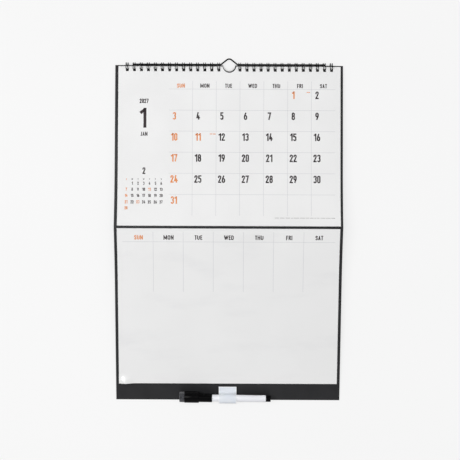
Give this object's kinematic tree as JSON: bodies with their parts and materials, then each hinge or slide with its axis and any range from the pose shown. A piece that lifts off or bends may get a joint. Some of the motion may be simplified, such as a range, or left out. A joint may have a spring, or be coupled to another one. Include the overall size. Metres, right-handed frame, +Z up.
{
  "type": "whiteboard calendar",
  "caption": "Wall calendar: wire-bound month sheets on a folded black board, dry-erase sheet below, and a capped marker in a clear loop at the foot.",
  "frame": {"origin": "underside of the hanger's hump, where the nail bears", "axes": "+X to the reader's right, +Y towards the wall, -Y towards the reader, +Z up"},
  "size_m": [0.305, 0.0289, 0.4663],
  "materials": {
    "hanger_wire": "satin black wire",
    "black_card": "smooth black card",
    "dry_erase_film": "glossy white dry-erase film",
    "month_paper": "matt white uncoated paper",
    "binding_wire": "satin black coated wire",
    "clear_strip": "clear flexible plastic, faintly blue",
    "white_tape": "white foam sticky pad",
    "white_barrel": "glossy white plastic",
    "black_plastic": "glossy black plastic",
    "nose_plastic": "matt black plastic",
    "nib_fibre": "black inked fibre",
    "reservoir_fibre": "wrapped fibre ink rod",
    "grey_felt": "grey felt"
  },
  "bodies": {
    "hanger": {"hanger": "hanger_wire"},
    "board": {"backing_board": "black_card", "whiteboard_sheet": "dry_erase_film", "binding_wire_left": "binding_wire", "binding_wire_right": "binding_wire", "pen_holder": "clear_strip", "holder_tape": "white_tape", "marker_barrel": "white_barrel", "marker_tail_plug": "black_plastic", "marker_nose": "nose_plastic", "marker_nib": "nib_fibre", "marker_reservoir": "reservoir_fibre"},
    "pad": {"month_pad": "month_paper"},
    "cap": {"marker_cap": "black_plastic", "marker_eraser": "grey_felt"}
  },
  "joints": [
    {"name": "hanger_swing", "type": "hinge", "parent": "hanger", "child": "board", "pos_m": [0, 0, -0.0064], "axis": [-1, 0, 0], "range_deg": [0, 90]},
    {"name": "pad_swing", "type": "hinge", "parent": "board", "child": "pad", "pos_m": [0, -0.00189, -0.00906], "axis": [-1, 0, 0], "range_deg": [0, 120]},
    {"name": "cap_pull", "type": "slide", "parent": "board", "child": "cap", "axis": [-1, -0.0008, 0.0087], "range_m": [0, 0.04]}
  ]
}
